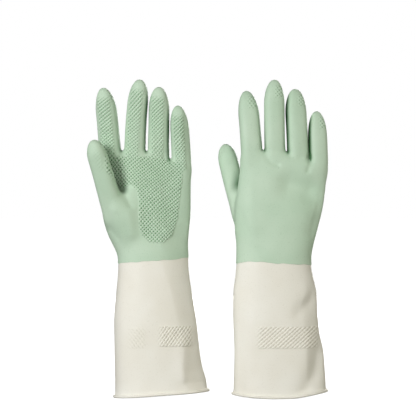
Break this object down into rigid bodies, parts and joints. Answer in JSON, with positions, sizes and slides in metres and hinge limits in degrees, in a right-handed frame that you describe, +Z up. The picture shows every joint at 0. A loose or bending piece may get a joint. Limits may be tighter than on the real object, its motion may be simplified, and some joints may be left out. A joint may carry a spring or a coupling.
{
  "type": "rubber gloves",
  "caption": "Pair of long household rubber gloves, green hand and cream cuff with a rolled bead, standing on their cuffs; wrists and digits bend.",
  "frame": {"origin": "under the middle of the pair, on the surface that the cuff beads stand on", "axes": "+Z up along the fingers, +X from the left glove to the right glove, -Y to the side that the left palm faces"},
  "size_m": [0.2398, 0.0656, 0.321],
  "materials": {
    "green_latex": "soft matte dipped latex, sage green, with a moulded diamond grip on the palm and fingers",
    "cream_latex": "satin dipped latex, cream, slightly translucent, with moulded grip bands across the cuff",
    "cotton_flock": "short cotton flock bonded to the inside, off-white and fuzzy"
  },
  "bodies": {
    "left_cuff": {"left_cuff": "cream_latex", "left_cuff_bead": "cream_latex", "left_cuff_lining": "cotton_flock"},
    "left_palm": {"left_wrist": "green_latex", "left_palm": "green_latex", "left_palm_lining": "cotton_flock"},
    "left_thumb": {"left_thumb_knuckle": "green_latex", "left_thumb_stall": "green_latex", "left_thumb_lining": "cotton_flock"},
    "left_index": {"left_index_knuckle": "green_latex", "left_index_stall": "green_latex", "left_index_lining": "cotton_flock"},
    "left_middle": {"left_middle_knuckle": "green_latex", "left_middle_stall": "green_latex", "left_middle_lining": "cotton_flock"},
    "left_ring": {"left_ring_knuckle": "green_latex", "left_ring_stall": "green_latex", "left_ring_lining": "cotton_flock"},
    "left_little": {"left_little_knuckle": "green_latex", "left_little_stall": "green_latex", "left_little_lining": "cotton_flock"},
    "right_cuff": {"right_cuff": "cream_latex", "right_cuff_bead": "cream_latex", "right_cuff_lining": "cotton_flock"},
    "right_palm": {"right_wrist": "green_latex", "right_palm": "green_latex", "right_palm_lining": "cotton_flock"},
    "right_thumb": {"right_thumb_knuckle": "green_latex", "right_thumb_stall": "green_latex", "right_thumb_lining": "cotton_flock"},
    "right_index": {"right_index_knuckle": "green_latex", "right_index_stall": "green_latex", "right_index_lining": "cotton_flock"},
    "right_middle": {"right_middle_knuckle": "green_latex", "right_middle_stall": "green_latex", "right_middle_lining": "cotton_flock"},
    "right_ring": {"right_ring_knuckle": "green_latex", "right_ring_stall": "green_latex", "right_ring_lining": "cotton_flock"},
    "right_little": {"right_little_knuckle": "green_latex", "right_little_stall": "green_latex", "right_little_lining": "cotton_flock"}
  },
  "joints": [
    {"name": "right_glove_apart", "type": "slide", "parent": "left_cuff", "child": "right_cuff", "axis": [1, 0, 0], "range_m": [0, 0.12]},
    {"name": "left_wrist_bend", "type": "hinge", "parent": "left_cuff", "child": "left_palm", "pos_m": [-0.05713, 0.00004, 0.149], "axis": [1, 0, 0], "range_deg": [-40, 45], "stiffness_Nm_per_rad": 0.3, "deforming": ["left_wrist"]},
    {"name": "left_thumb_bend", "type": "hinge", "parent": "left_palm", "child": "left_thumb", "pos_m": [-0.10325, -0.02029, 0.21659], "axis": [0.6682, 0.6682, 0.327], "range_deg": [-15, 35], "stiffness_Nm_per_rad": 0.03, "deforming": ["left_thumb_knuckle"]},
    {"name": "left_index_bend", "type": "hinge", "parent": "left_palm", "child": "left_index", "pos_m": [-0.10189, -0.00231, 0.26095], "axis": [0.9953, 0, 0.0965], "range_deg": [-15, 60], "stiffness_Nm_per_rad": 0.03, "deforming": ["left_index_knuckle"]},
    {"name": "left_middle_bend", "type": "hinge", "parent": "left_palm", "child": "left_middle", "pos_m": [-0.07348, -0.00216, 0.26098], "axis": [0.9982, 0, -0.0606], "range_deg": [-15, 60], "stiffness_Nm_per_rad": 0.03, "deforming": ["left_middle_knuckle"]},
    {"name": "left_ring_bend", "type": "hinge", "parent": "left_palm", "child": "left_ring", "pos_m": [-0.05097, -0.00225, 0.25999], "axis": [1, 0, -0.0079], "range_deg": [-15, 60], "stiffness_Nm_per_rad": 0.03, "deforming": ["left_ring_knuckle"]},
    {"name": "left_little_bend", "type": "hinge", "parent": "left_palm", "child": "left_little", "pos_m": [-0.02966, -0.00255, 0.25498], "axis": [0.9987, 0, 0.0517], "range_deg": [-15, 60], "stiffness_Nm_per_rad": 0.03, "deforming": ["left_little_knuckle"]},
    {"name": "right_wrist_bend", "type": "hinge", "parent": "right_cuff", "child": "right_palm", "pos_m": [0.06607, 0.00004, 0.149], "axis": [-1, 0, 0], "range_deg": [-40, 45], "stiffness_Nm_per_rad": 0.3, "deforming": ["right_wrist"]},
    {"name": "right_thumb_bend", "type": "hinge", "parent": "right_palm", "child": "right_thumb", "pos_m": [0.02766, 0.02062, 0.2166], "axis": [-0.6687, 0.6687, -0.3252], "range_deg": [-15, 35], "stiffness_Nm_per_rad": 0.03, "deforming": ["right_thumb_knuckle"]},
    {"name": "right_index_bend", "type": "hinge", "parent": "right_palm", "child": "right_index", "pos_m": [0.04102, 0.0025, 0.26097], "axis": [-0.9973, 0, -0.0733], "range_deg": [-15, 60], "stiffness_Nm_per_rad": 0.03, "deforming": ["right_index_knuckle"]},
    {"name": "right_middle_bend", "type": "hinge", "parent": "right_palm", "child": "right_middle", "pos_m": [0.0672, 0.00224, 0.26099], "axis": [-0.9998, 0, -0.0206], "range_deg": [-15, 60], "stiffness_Nm_per_rad": 0.03, "deforming": ["right_middle_knuckle"]},
    {"name": "right_ring_bend", "type": "hinge", "parent": "right_palm", "child": "right_ring", "pos_m": [0.0889, 0.00237, 0.25998], "axis": [-0.9991, 0, -0.0427], "range_deg": [-15, 60], "stiffness_Nm_per_rad": 0.03, "deforming": ["right_ring_knuckle"]},
    {"name": "right_little_bend", "type": "hinge", "parent": "right_palm", "child": "right_little", "pos_m": [0.10946, 0.00285, 0.25498], "axis": [-0.9997, 0, -0.0225], "range_deg": [-15, 60], "stiffness_Nm_per_rad": 0.03, "deforming": ["right_little_knuckle"]}
  ]
}
